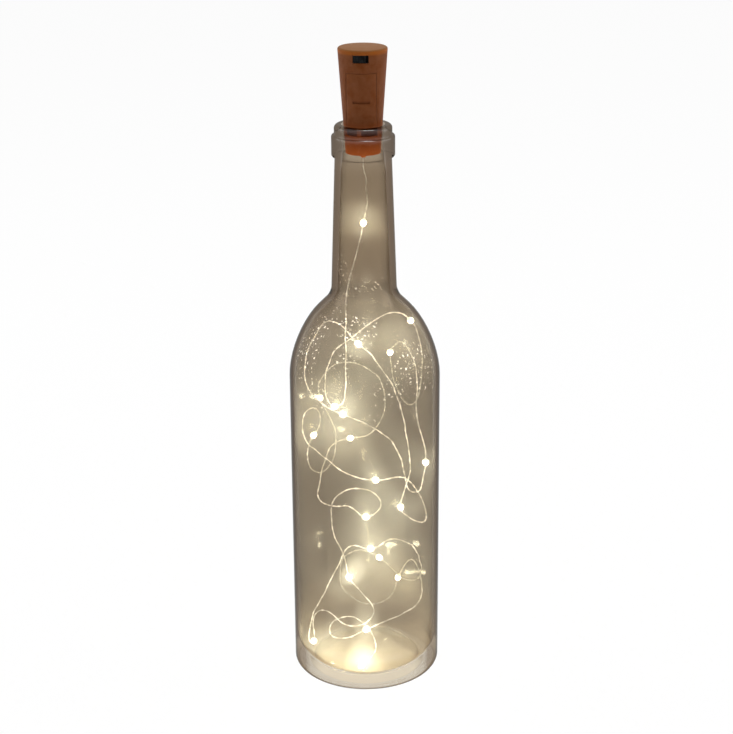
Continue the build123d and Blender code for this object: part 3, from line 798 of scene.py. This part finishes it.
def silver_wire(colours):
    """Bare bright wire under clear lacquer, with a painted glow in patches where it passes a light.
    """
    finish = new_finish("silver_wire")
    warm = mixed(tuple(colours.light), grey(1), 0.8)
    scratches = finish.noise(2400.0, 3.0)
    dull = mixed(colours.wire, grey(0), 0.2)
    # Painted highlights: the glow shows in patches along the wire
    glint_patches = finish.ramp(finish.noise(150.0, 4.0, 0.7), [(0.42, grey(0.16)), (0.60, grey(1.0))])
    made = finish.surface(
        base_color=finish.ramp(scratches, [(0.3, dull), (0.7, colours.wire)]),
        metallic=1.0,
        roughness=scratches * 0.25 + 0.15,
        emission_color=finish.blend("MIX", finish.attribute("glow") * glint_patches, grey(0), warm),
        emission_strength=3.4,
    )
    made.cycles.emission_sampling = "NONE"
    return made


def lit_resin(colours):
    """A drop of resin that is dim at its ends and filled with light round the chip."""
    finish = new_finish("lit_resin")
    glow = finish.ramp(
        finish.attribute("core"),
        [
            (0.0, mixed(grey(0), colours.light, 0.0003)),
            (1.0, mixed(colours.light, grey(1), 0.35)),
            (0.44, mixed(grey(0), colours.light, 0.0007)),
            (0.56, mixed(grey(0), colours.light, 0.03)),
            (0.70, tuple(colours.light)),
        ],
    )
    return finish.surface(
        base_color=(0.9, 0.82, 0.66),
        roughness=finish.noise(1500.0, 2.0) * 0.2 + 0.08,
        emission_color=glow,
        emission_strength=colours.light_strength,
    )


def lit_chip(colours):
    """The chip of a light under its yellow phosphor."""
    finish = new_finish("lit_chip")
    specks = finish.noise(5200.0, 2.0)
    shade = finish.ramp(specks, [(0.3, (0.85, 0.62, 0.12)), (0.7, (0.95, 0.80, 0.30))])
    return finish.surface(
        base_color=shade,
        roughness=0.5,
        emission_color=shade,
        emission_strength=colours.light_strength,
    )


# Operators, one for each piece or group of like pieces

class BuildOperator:
    """What the operators share."""

    bl_options = {"REGISTER", "UNDO"}


class BOTTLELIGHT_OT_stage(BuildOperator, bpy.types.Operator):
    """Set up the pale floor, the soft light and the camera of the photograph"""

    bl_idname = "bottlelight.stage"
    bl_label = "Stage"

    def execute(self, context):
        self.camera(context)
        self.floor()
        self.lamps(context)
        self.room(context)
        context.scene.view_settings.view_transform = "Standard"
        return {"FINISHED"}

    def camera(self, context):
        x = CAMERA_DISTANCE * math.sin(CAMERA_TURN)
        y = -CAMERA_DISTANCE * math.cos(CAMERA_TURN)
        place = (x, y, CAMERA_HEIGHT)
        deselect()
        bpy.ops.object.camera_add(location=place)
        camera = context.object
        turn = Matrix.Rotation(CAMERA_TURN, 4, "Z")
        pitch = Matrix.Rotation(math.radians(90) - CAMERA_TILT, 4, "X")
        roll = Matrix.Rotation(CAMERA_ROLL, 4, "Z")
        camera.matrix_world = Matrix.Translation(place) @ turn @ pitch @ roll
        camera.data.lens = CAMERA_LENS
        camera.data.sensor_width = CAMERA_SENSOR
        camera.data.shift_x = CAMERA_SHIFT
        context.scene.camera = camera

    def seen(self, finish):
        """One for what the camera sees, also in metal and through glass, and zero for light."""
        path = finish.add("ShaderNodeLightPath").socket.node.outputs
        camera, glossy, through = (
            Shade(finish, path[name])
            for name in ("Is Camera Ray", "Is Glossy Ray", "Is Transmission Ray")
        )
        return camera.greatest(glossy).greatest(through)

    def floor(self):
        deselect()
        bpy.ops.mesh.primitive_plane_add(size=FLOOR_SIZE)
        floor = bpy.context.object
        floor.name = "floor"
        finish = new_finish("pale_floor")
        paint = finish.add("ShaderNodeBsdfDiffuse", inputs={"Color": grey(FLOOR_PAINT)})
        white = finish.add("ShaderNodeEmission", inputs={"Color": grey(1.0), "Strength": 1.0})
        finish.end(finish.mix(self.seen(finish) * FLOOR_WHITE, paint, white))
        dress(floor, finish.owner)

    def lamps(self, context):
        for name, place, size, power in LAMPS:
            deselect()
            bpy.ops.object.light_add(type="AREA", location=place)
            lamp = context.object
            lamp.name = name
            lamp.data.size = size
            lamp.data.energy = power
            aim = LAMP_AIM - Vector(place)
            lamp.rotation_euler = aim.to_track_quat("-Z", "Y").to_euler()

    def room(self, context):
        context.scene.world = bpy.data.worlds.new("room")
        finish = Finish(context.scene.world)
        light, white = (
            finish.add("ShaderNodeBackground", inputs={"Color": grey(1.0), "Strength": strength})
            for strength in (ROOM_LIGHT, 1.0)
        )
        finish.end(finish.mix(self.seen(finish), light, white), "ShaderNodeOutputWorld")


class BOTTLELIGHT_OT_string(BuildOperator, bpy.types.Operator):
    """Lay the twisted string and its lights along the route inside the bottle"""

    bl_idname = "bottlelight.string"
    bl_label = "String of lights"

    def execute(self, context):
        sizes = context.scene.bottle_light_string
        colours = context.scene.bottle_light_finishes
        line = self.line()
        if len(line) <= len(STRING_ROUTE):
            raise RuntimeError("The string's line was not made")
        places = self.light_places(line)
        drops = self.drops(sizes, colours, places)
        chips = self.chips(colours, places)
        string = self.strands(sizes, line, [place.translation for place in places])
        dress(string, silver_wire(colours))
        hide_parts("string_wire")
        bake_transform(string)
        sum((b - a).length for a, b in zip(line, line[1:]))
        return {"FINISHED"}

    def line(self):
        """The points of the smooth line that the route's points control, with small bends."""
        points = [STRING_EXIT, STRING_EXIT - Vector((0, 0, STRING_START_RUN))]
        points += [Vector(point) for point in STRING_ROUTE]
        curve = bpy.data.curves.new("string_line", "CURVE")
        curve.dimensions = "3D"
        curve.resolution_u = LINE_STEPS
        spline = curve.splines.new("NURBS")
        spline.points.add(len(points) - 1)
        for control, point in zip(spline.points, points):
            control.co = (*point, 1)
        spline.order_u = 3
        spline.use_endpoint_u = True
        bare = bpy.data.objects.new("string_line", curve)
        mesh = bpy.data.meshes.new_from_object(bare)
        line = [vertex.co.copy() for vertex in mesh.vertices]
        bpy.data.meshes.remove(mesh)
        bpy.data.curves.remove(curve)
        noise.seed_set(KINK_SEED)
        return [self.kinked(point, min(1, i / KINK_START)) for i, point in enumerate(line)]

    def kinked(self, point, share):
        """A point of the line after the small bends of thin wire, never nearer to the glass."""
        moved = point.copy()
        for density, size in KINKS:
            moved += noise.noise_vector(point * density) * size * share
        grown = moved.xy.length / max(point.xy.length, NEAR)
        if grown > 1:
            moved.xy /= grown
        return moved

    def light_places(self, line):
        """Where each light sits on the line and how it is turned, nearest to its solid."""
        found = KDTree(len(line))
        for i, point in enumerate(line):
            found.insert(point, i)
        found.balance()
        places = []
        for middle in light_middles():
            at = found.find(middle)[1]
            along = line[min(at + 1, len(line) - 1)] - line[max(at - 1, 0)]
            turn = along.to_track_quat("Z", "X").to_matrix().to_4x4()
            places.append(Matrix.Translation(line[at]) @ turn)
        return places

    def strands(self, sizes, line, lights):
        """Two thin wires twisted round the line, with the painted glow of each point: stronger near
        a light, fading into painted shade towards the back.
        """
        radius = sizes.diameter / 4
        curve = bpy.data.curves.new("string_of_lights", "CURVE")
        curve.dimensions = "3D"
        curve.bevel_depth = radius
        curve.bevel_resolution = 1
        curve.use_fill_caps = True
        splines = []
        for strand in range(2):
            spline = curve.splines.new("POLY")
            spline.points.add(len(line) - 1)
            splines.append(spline)
        side = Vector((1, 0, 0))
        travelled = 0.0
        for i, point in enumerate(line):
            along = (line[min(i + 1, len(line) - 1)] - line[max(i - 1, 0)]).normalized()
            side = (side - along * side.dot(along)).normalized()
            other = along.cross(side)
            travelled += (point - line[max(i - 1, 0)]).length
            for strand, spline in enumerate(splines):
                angle = 2 * math.pi * travelled / sizes.twist + strand * math.pi
                out = side * math.cos(angle) + other * math.sin(angle)
                spline.points[i].co = (*(point + out * radius), 1)
        string = bpy.data.objects.new("string_of_lights", curve)
        bpy.context.collection.objects.link(string)
        pick(string)
        bpy.ops.object.convert(target="MESH")
        string = checked(bpy.context.object)
        # Painted glow: stronger near the lights, fading into painted shade towards the back
        glow = string.data.attributes.new("glow", "FLOAT", "POINT")
        for vertex, value in zip(string.data.vertices, glow.data):
            away = ((vertex.co - light).length / sizes.glow_reach for light in lights)
            lit = min(1, sum(1 / (1 + distance * distance) for distance in away))
            behind = min(1, max(0, (vertex.co.y - BACK_START) / BACK_DEPTH))
            value.value = lit * (1 - BACK_LOSS * behind)
        bpy.ops.object.shade_smooth()
        return string

    def drops(self, sizes, colours, places):
        """A drop of resin round the wire at each light."""
        half = sizes.drop_length / 2
        full = sizes.drop_radius
        belly = half * 0.35
        corners = [
            (0, -half, 0),
            (sizes.drop_end, -half, DROP_END_ROUND),
            (full, -belly, DROP_SIDE_ROUND),
            (full, belly, DROP_SIDE_ROUND),
            (sizes.drop_end, half, DROP_END_ROUND),
            (0, half, 0),
        ]
        model = turned("light_drop", corners, 20)
        core = model.data.attributes.new("core", "FLOAT", "POINT")
        for vertex, value in zip(model.data.vertices, core.data):
            value.value = 1 - abs(vertex.co.z) / half
        dress(model, lit_resin(colours))
        smooth(model, 60)
        drops = []
        for i, place in enumerate(places):
            drop = copied(model, f"light_drop_{i + 1:02d}", place)
            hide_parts(f"led_bead_{i + 1:02d}")
            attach(drop, "stopper" if place.translation.z > LOOSE_HIGH.z else "bottle")
            drops.append(drop)
        bpy.data.meshes.remove(model.data)
        return drops

    def chips(self, colours, places):
        """The chips in the drops, as one piece for each body that they move with."""
        model = block("light_chip", *(across(side) for side in CHIP_SIZE))
        round_edges(model, CHIP_ROUND, 2)
        dress(model, lit_chip(colours))
        chips = []
        for body, name in (("stopper", "light_chip_upper"), ("bottle", "light_chips_lower")):
            held = [
                copied(model, name, place)
                for place in places
                if (place.translation.z > LOOSE_HIGH.z) == (body == "stopper")
            ]
            pick(held[0])
            for chip in held:
                chip.select_set(True)
            if len(held) > 1:
                bpy.ops.object.join()
            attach(held[0], body)
            chips.append(held[0])
        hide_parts("led_chips")
        bpy.data.meshes.remove(model.data)
        return chips


class BOTTLELIGHT_OT_bottle(BuildOperator, bpy.types.Operator):
    """Turn the glass bottle from its outline"""

    bl_idname = "bottlelight.bottle"
    bl_label = "Glass bottle"

    def execute(self, context):
        sizes = context.scene.bottle_light_bottle
        colours = context.scene.bottle_light_finishes
        bottle = turned("glass_bottle", self.outline(sizes), BOTTLE_STEPS)
        smooth(bottle, 40)
        self.mark_lights(bottle)
        dress(bottle, outer_glass(colours, sizes))
        bottle.data.materials.append(inner_glass(colours, sizes))
        for face in bottle.data.polygons:
            face.material_index = self.is_inside(face.center, face.normal)
        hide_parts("bottle")
        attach(bottle, "bottle")
        return {"FINISHED"}

    def mark_lights(self, bottle):
        """Writes how near each point of the glass is to the lights, for its film."""
        lights = light_middles()
        near = bottle.data.attributes.new("near_light", "FLOAT", "POINT")
        for vertex, value in zip(bottle.data.vertices, near.data):
            away = ((vertex.co - light).length_squared / FILM_REACH ** 2 for light in lights)
            value.value = min(1, FILM_GAIN * sum((1 + distance) ** -2 for distance in away))

    def is_inside(self, place, normal):
        """Whether a face of the glass is on the inside of the bottle."""
        if place.z < BASE_TOP and abs(normal.z) > 0.1:
            return normal.z > 0
        return normal.x * place.x + normal.y * place.y < 0

    def rings(self, start, end, first, last, count):
        """Corners along the straight line between two others, from one share of it to another."""
        shares = [first + (last - first) * i / (count - 1) for i in range(count)]
        return [(*mixed(start[:2], end[:2], share), 0) for share in shares]

    def outline(self, sizes):
        """Radius, height and rounding of each corner, from the axis outside to the axis inside.
        The rings along the inside give its film enough points to follow the lights."""
        wall = sizes.wall
        inside = sizes.body_radius - wall
        neck_height = sizes.ring_low - sizes.neck_base_height
        lean = (sizes.neck_base_radius - sizes.neck_top_radius) / neck_height
        shoulder_in = wall * math.tan(LEAN_OF_SHOULDER / 2)
        neck_in = sizes.neck_base_radius - wall
        floor = sizes.punt_height + sizes.base
        flare = neck_in - lean * (sizes.flare_end - sizes.neck_base_height)
        neck_top = (flare, sizes.flare_end, BORE_ROUND)
        neck_low = (neck_in, sizes.neck_base_height - shoulder_in, sizes.neck_base_round + wall)
        body_top = (inside, sizes.shoulder_height - shoulder_in, sizes.shoulder_round - wall)
        body_low = (inside, sizes.base + sizes.floor_slope, HEEL_INSIDE_ROUND)
        return [
            (0, sizes.punt_height, 0),
            (sizes.punt_radius, sizes.punt_height, PUNT_ROUND),
            (sizes.stand_radius, 0, STAND_ROUND),
            (sizes.body_radius, 0, sizes.heel_round),
            (sizes.body_radius, sizes.shoulder_height, sizes.shoulder_round),
            (sizes.neck_base_radius, sizes.neck_base_height, sizes.neck_base_round),
            (sizes.neck_top_radius, sizes.ring_low, NECK_TOP_ROUND),
            (sizes.ring_radius, sizes.ring_low, sizes.ring_round),
            (sizes.ring_radius, sizes.ring_high, sizes.ring_round),
            (sizes.lip_radius, sizes.ring_high, LIP_FOOT_ROUND),
            (sizes.lip_radius, sizes.height, sizes.lip_round),
            (sizes.mouth_radius, sizes.height, MOUTH_ROUND),
            (sizes.mouth_radius, sizes.bore_end, BORE_ROUND),
            neck_top,
            *self.rings(neck_top, neck_low, *NECK_RINGS),
            neck_low,
            body_top,
            *self.rings(body_top, body_low, *BODY_RINGS),
            body_low,
            (inside - sizes.floor_slope, sizes.base, FLOOR_ROUND),
            (sizes.punt_radius, floor, PUNT_ROUND),
            (0, floor, 0),
        ]


class BOTTLELIGHT_OT_stopper(BuildOperator, bpy.types.Operator):
    """Mould the tapered stopper with its window and its battery opening"""

    bl_idname = "bottlelight.stopper"
    bl_label = "Stopper"

    def execute(self, context):
        sizes = context.scene.bottle_light_stopper
        shell = taper("stopper_moulding", 0, 0, sizes.height)
        bpy.ops.object.mode_set(mode="EDIT")
        select_vertices(shell, lambda co: co.z > STOPPER_END + sizes.height - NEAR)
        bpy.ops.mesh.bevel(offset=sizes.top_round, segments=5, affect="EDGES")
        bpy.ops.object.mode_set(mode="OBJECT")
        hollow = taper("hollow", sizes.shell, -TOOL_MARGIN, sizes.height - sizes.head)
        combine(shell, hollow, "DIFFERENCE")
        front = (TOOL_FRONT, -sizes.shell)
        opening_z = (STOPPER_END + sizes.recess_low, STOPPER_END + sizes.door_high + sizes.fit)
        opening = block("opening", across(sizes.door_width + 2 * sizes.fit), front, opening_z)
        combine(shell, opening, "DIFFERENCE")
        window_z = across(WINDOW_TALL, STOPPER_END + sizes.window_height)
        window = block("window", across(sizes.window_width), front, window_z)
        combine(shell, window, "DIFFERENCE")
        side = sizes.end_radius + stopper_slope(sizes) * (window_z[0] - STOPPER_END)
        deselect()
        bpy.ops.mesh.primitive_cylinder_add(
            vertices=96,
            radius=DISH_RADIUS,
            depth=sizes.window_width,
            location=(0, -side - DISH_SHALLOW, window_z[0]),
            rotation=(0, math.radians(90), 0),
        )
        combine(shell, settle(context.object), "DIFFERENCE")
        round_edges(shell, sizes.edge_round, 2)
        smooth(shell, 35)
        dress(shell, cork_plastic(context))
        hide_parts("stopper_shell")
        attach(shell, "stopper")
        return {"FINISHED"}


class BOTTLELIGHT_OT_door(BuildOperator, bpy.types.Operator):
    """Mould the battery door with its tongues and nail groove"""

    bl_idname = "bottlelight.door"
    bl_label = "Battery door"

    def execute(self, context):
        sizes = context.scene.bottle_light_stopper
        low, high = sizes.door_low, sizes.door_high
        width = across(sizes.door_width)
        door = self.skin("battery_door_moulding", 0, sizes.shell, (low, high), width)
        behind = sizes.shell + sizes.fit
        deep = behind + sizes.tongue
        low_end = sizes.recess_low - LOW_TONGUE[2]
        high_end = high + HIGH_TONGUE[1]
        for x, span, root in (
            (across(*LOW_TONGUE[:2]), (low_end, low + TONGUE_ROOT), (low, low + TONGUE_ROOT)),
            (across(HIGH_TONGUE[0]), (high - TONGUE_ROOT, high_end), (high - TONGUE_ROOT, high)),
        ):
            combine(door, self.skin("tongue", behind, deep, span, x), "UNION")
            combine(door, self.skin("root", sizes.shell / 2, deep, root, x), "UNION")
        nail_z = across(NAIL_TALL, sizes.nail_height)
        groove_z = [STOPPER_END + z for z in nail_z]
        groove = block("groove", across(sizes.nail_width), (TOOL_FRONT, 0), groove_z)
        floor_z = (nail_z[0] - TOOL_MARGIN, nail_z[1] + TOOL_MARGIN)
        combine(groove, taper("floor", sizes.nail_depth, *floor_z), "DIFFERENCE")
        combine(door, groove, "DIFFERENCE")
        round_edges(door, sizes.edge_round, 2)
        smooth(door, 35)
        dress(door, cork_plastic(context))
        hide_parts("battery_door")
        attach(door, "battery_door")
        return {"FINISHED"}

    def skin(self, name, outer, inner, span, x):
        """Part of the taper's skin between two insets, two heights and two sides."""
        skin = taper(name, outer, *span)
        low, high = span[0] - TOOL_MARGIN, span[1] + TOOL_MARGIN
        combine(skin, taper("core", inner, low, high), "DIFFERENCE")
        sides = block("sides", x, (TOOL_FRONT, 0), (STOPPER_END + low, STOPPER_END + high))
        return combine(skin, sides, "INTERSECT")


class BOTTLELIGHT_OT_end_plug(BuildOperator, bpy.types.Operator):
    """Turn the plug that closes the stopper's end, with its nose for the string"""

    bl_idname = "bottlelight.end_plug"
    bl_label = "End plug"

    def execute(self, context):
        sizes = context.scene.bottle_light_stopper
        rim = sizes.end_radius - sizes.shell - sizes.fit
        top = STOPPER_END + sizes.plug
        nose = STOPPER_END - sizes.gland
        corners = [
            (PLUG_BORE, top, 0),
            (PLUG_BORE, nose, 0),
            (NOSE_END, nose, PLUG_ROUND),
            (NOSE_ROOT, STOPPER_END, NOSE_ROOT_ROUND),
            (rim, STOPPER_END, PLUG_ROUND),
            (rim + stopper_slope(sizes) * sizes.plug, top, PLUG_TOP_ROUND),
            (PLUG_BORE, top, 0),
        ]
        plug = turned("end_plug_moulding", corners, 96)
        smooth(plug, 40)
        dress(plug, cork_plastic(context))
        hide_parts("end_plug")
        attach(plug, "stopper")
        return {"FINISHED"}


class BOTTLELIGHT_OT_works(BuildOperator, bpy.types.Operator):
    """Finish the parts that are taken over from the CAD model: tray, cells, contacts and switch"""

    bl_idname = "bottlelight.works"
    bl_label = "Works in the stopper"

    def execute(self, context):
        black = tuple(context.scene.bottle_light_finishes.black)
        contact = sheet_metal("contact_metal", (0.72, 0.66, 0.52), 0.2)
        cell = sheet_metal("cell_steel", (0.62, 0.61, 0.59), 0.16)
        finishes = {
            "switch_knob": moulded_plastic("black_plastic", black, 0.35),
            "switch_case": sheet_metal("switch_metal", (0.55, 0.55, 0.56), 0.22),
            "battery_tray": moulded_plastic("tray_plastic", (0.22, 0.066, 0.018), 0.4),
            "battery_cell_1": cell,
            "battery_cell_2": cell,
            "battery_cell_3": cell,
            "positive_contact": contact,
            "negative_contact": contact,
            "circuit_board": board_lacquer(),
            "resistor": moulded_plastic("black_ceramic", (0.02, 0.02, 0.022), 0.5),
            "string_lead": bpy.data.materials["silver_wire"],
        }
        for name, material in finishes.items():
            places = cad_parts[name].material_slots
            if not places:
                raise RuntimeError(f"{name} has no place for its finish")
            for place in places:
                place.material = material
        return {"FINISHED"}


class BOTTLELIGHT_PT_panel(bpy.types.Panel):
    """The pieces of the bottle light, with their sizes and colours"""

    bl_idname = "BOTTLELIGHT_PT_panel"
    bl_label = "Bottle light"
    bl_space_type = "VIEW_3D"
    bl_region_type = "UI"
    bl_category = "Bottle light"

    def draw(self, context):
        for operator in OPERATORS:
            self.layout.operator(operator.bl_idname)
        for group in GROUPS:
            settings = getattr(context.scene, group)
            box = self.layout.box()
            for name in settings.bl_rna.properties.keys():
                if name not in ("rna_type", "name"):
                    box.prop(settings, name)


GROUPS = {
    "bottle_light_bottle": BottleSizes,
    "bottle_light_stopper": StopperSizes,
    "bottle_light_string": StringSizes,
    "bottle_light_finishes": Finishes,
}
OPERATORS = (
    BOTTLELIGHT_OT_stage,
    BOTTLELIGHT_OT_string,
    BOTTLELIGHT_OT_bottle,
    BOTTLELIGHT_OT_stopper,
    BOTTLELIGHT_OT_door,
    BOTTLELIGHT_OT_end_plug,
    BOTTLELIGHT_OT_works,
)
CLASSES = (*GROUPS.values(), *OPERATORS, BOTTLELIGHT_PT_panel)


def register():
    for kind in CLASSES:
        bpy.utils.register_class(kind)
    for name, kind in GROUPS.items():
        setattr(bpy.types.Scene, name, PointerProperty(type=kind))


def unregister():
    for name in GROUPS:
        delattr(bpy.types.Scene, name)
    for kind in reversed(CLASSES):
        bpy.utils.unregister_class(kind)


def main():
    register()
    bpy.ops.bottlelight.stage()
    bpy.ops.bottlelight.string()
    bpy.ops.bottlelight.bottle()
    bpy.ops.bottlelight.stopper()
    bpy.ops.bottlelight.door()
    bpy.ops.bottlelight.end_plug()
    bpy.ops.bottlelight.works()


if __name__ == "__main__":
    main()
